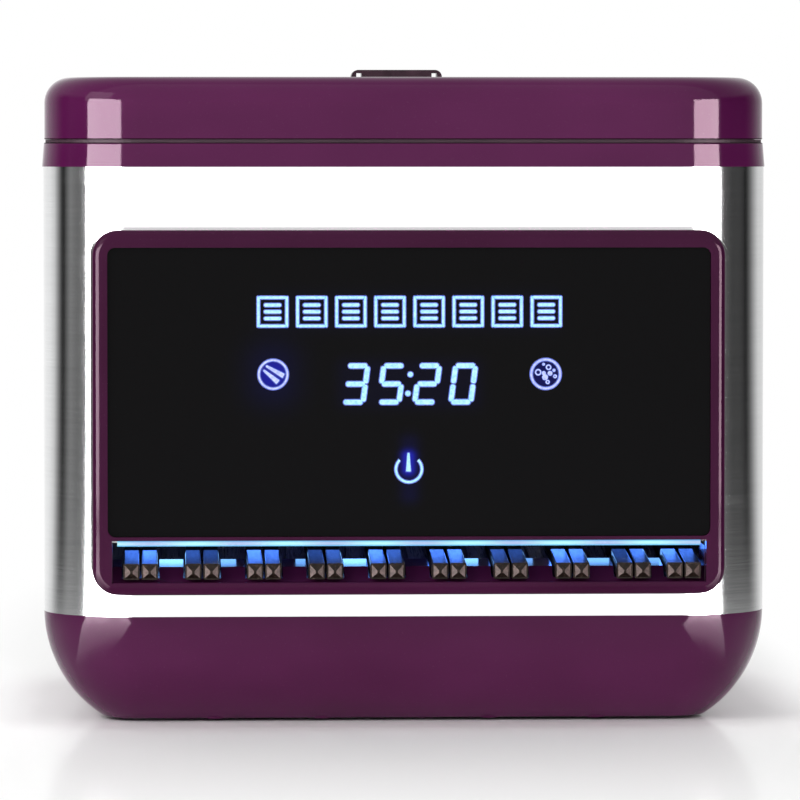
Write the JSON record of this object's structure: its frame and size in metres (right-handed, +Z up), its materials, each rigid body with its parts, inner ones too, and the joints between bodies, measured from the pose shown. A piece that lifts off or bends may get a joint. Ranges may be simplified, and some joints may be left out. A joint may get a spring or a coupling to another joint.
{
  "type": "chopstick sterilizer box",
  "caption": "Counter-top chopstick sterilizer and dispenser: hinged lid over a sloping hopper, steel body, glass display front and a lit mouth with chopstick pairs in bays.",
  "frame": {"origin": "on the worktop, under the middle of the machine's overall plan", "axes": "+X to the user's right along the width, +Y to the back, +Z up; the front faces -Y"},
  "size_m": [0.341, 0.2975, 0.3069],
  "materials": {
    "purple_gloss": "glossy moulded plastic, deep purple",
    "steel": "brushed stainless sheet",
    "black_glass": "black tinted glass, opaque",
    "diffuser": "clear blue-white light strip",
    "dark_plastic": "black moulded plastic",
    "liner_plastic": "dark purple moulded plastic",
    "silicone": "grey silicone",
    "rubber": "black rubber",
    "hopper_steel": "pressed stainless sheet",
    "cover_steel": "zinc-plated sheet",
    "shaft_steel": "turned steel",
    "white_nylon": "natural nylon",
    "bronze": "sintered bronze",
    "board_green": "green circuit board",
    "lamp_glass": "clear quartz glass",
    "aluminium": "plain aluminium",
    "chopstick": "dark brown melamine",
    "magnet": "plated magnet"
  },
  "bodies": {
    "housing": {"base_tub": "purple_gloss", "foot_front_left": "rubber", "foot_front_right": "rubber", "foot_rear_left": "rubber", "foot_rear_right": "rubber", "bottom_cover": "cover_steel", "steel_wrap": "steel", "collar": "purple_gloss", "hinge_bracket_left": "purple_gloss", "hinge_bracket_right": "purple_gloss", "hinge_pins": "shaft_steel", "reed_sensor": "dark_plastic", "bezel": "purple_gloss", "glass_panel": "black_glass", "light_diffuser": "diffuser", "light_board": "board_green", "display_board": "board_green", "mouth_lip": "purple_gloss", "hopper": "hopper_steel", "shaft_bearings": "bronze", "gear_motor": "shaft_steel", "motor_bracket": "cover_steel", "uv_lamp_tube": "lamp_glass", "uv_lamp_caps": "aluminium", "lamp_holders": "white_nylon", "fan_housing": "dark_plastic", "ptc_heater": "aluminium", "ozone_module": "white_nylon", "board_standoffs": "white_nylon", "main_board": "board_green", "lamp_ballast": "aluminium", "cord_gland": "dark_plastic"},
    "lid_body": {"lid": "purple_gloss", "hinge_leaf_left": "purple_gloss", "hinge_leaf_right": "purple_gloss", "lid_liner": "liner_plastic", "lid_seal": "silicone", "lid_handle": "dark_plastic", "lid_handle_screws": "shaft_steel", "lid_magnet": "magnet"},
    "stirrer": {"agitator_shaft": "shaft_steel", "agitator_paddles": "white_nylon", "agitator_gear": "white_nylon"},
    "motor_drive": {"motor_pinion": "bronze", "motor_shaft": "shaft_steel"},
    "fan": {"fan_rotor": "dark_plastic"},
    "pair_01": {"chopsticks_01": "chopstick"},
    "pair_02": {"chopsticks_02": "chopstick"},
    "pair_03": {"chopsticks_03": "chopstick"},
    "pair_04": {"chopsticks_04": "chopstick"},
    "pair_05": {"chopsticks_05": "chopstick"},
    "pair_06": {"chopsticks_06": "chopstick"},
    "pair_07": {"chopsticks_07": "chopstick"},
    "pair_08": {"chopsticks_08": "chopstick"},
    "pair_09": {"chopsticks_09": "chopstick"},
    "pair_10": {"chopsticks_10": "chopstick"}
  },
  "joints": [
    {"name": "lid_hinge", "type": "hinge", "parent": "housing", "child": "lid_body", "pos_m": [0, 0.14425, 0.2724], "axis": [-1, 0, 0], "range_deg": [0, 95]},
    {"name": "stirrer_turn", "type": "hinge", "parent": "housing", "child": "stirrer", "pos_m": [0, 0, 0.0729], "axis": [1, 0, 0], "continuous": true},
    {"name": "motor_turn", "type": "hinge", "parent": "housing", "child": "motor_drive", "pos_m": [0, 0.03, 0.05488], "axis": [1, 0, 0], "continuous": true},
    {"name": "fan_turn", "type": "hinge", "parent": "housing", "child": "fan", "pos_m": [0.07, 0.13925, 0.128], "axis": [0, 1, 0], "continuous": true},
    {"name": "pair_01_draw", "type": "slide", "parent": "housing", "child": "pair_01", "axis": [0, -0.9945, -0.1045], "range_m": [0, 0.237]},
    {"name": "pair_02_draw", "type": "slide", "parent": "housing", "child": "pair_02", "axis": [0, -0.9945, -0.1045], "range_m": [0, 0.237]},
    {"name": "pair_03_draw", "type": "slide", "parent": "housing", "child": "pair_03", "axis": [0, -0.9945, -0.1045], "range_m": [0, 0.237]},
    {"name": "pair_04_draw", "type": "slide", "parent": "housing", "child": "pair_04", "axis": [0, -0.9945, -0.1045], "range_m": [0, 0.237]},
    {"name": "pair_05_draw", "type": "slide", "parent": "housing", "child": "pair_05", "axis": [0, -0.9945, -0.1045], "range_m": [0, 0.237]},
    {"name": "pair_06_draw", "type": "slide", "parent": "housing", "child": "pair_06", "axis": [0, -0.9945, -0.1045], "range_m": [0, 0.237]},
    {"name": "pair_07_draw", "type": "slide", "parent": "housing", "child": "pair_07", "axis": [0, -0.9945, -0.1045], "range_m": [0, 0.237]},
    {"name": "pair_08_draw", "type": "slide", "parent": "housing", "child": "pair_08", "axis": [0, -0.9945, -0.1045], "range_m": [0, 0.237]},
    {"name": "pair_09_draw", "type": "slide", "parent": "housing", "child": "pair_09", "axis": [0, -0.9945, -0.1045], "range_m": [0, 0.237]},
    {"name": "pair_10_draw", "type": "slide", "parent": "housing", "child": "pair_10", "axis": [0, -0.9945, -0.1045], "range_m": [0, 0.237]}
  ],
  "couplings": [
    {"joint": "motor_turn", "follows": "stirrer_turn", "ratio": -2.5}
  ]
}
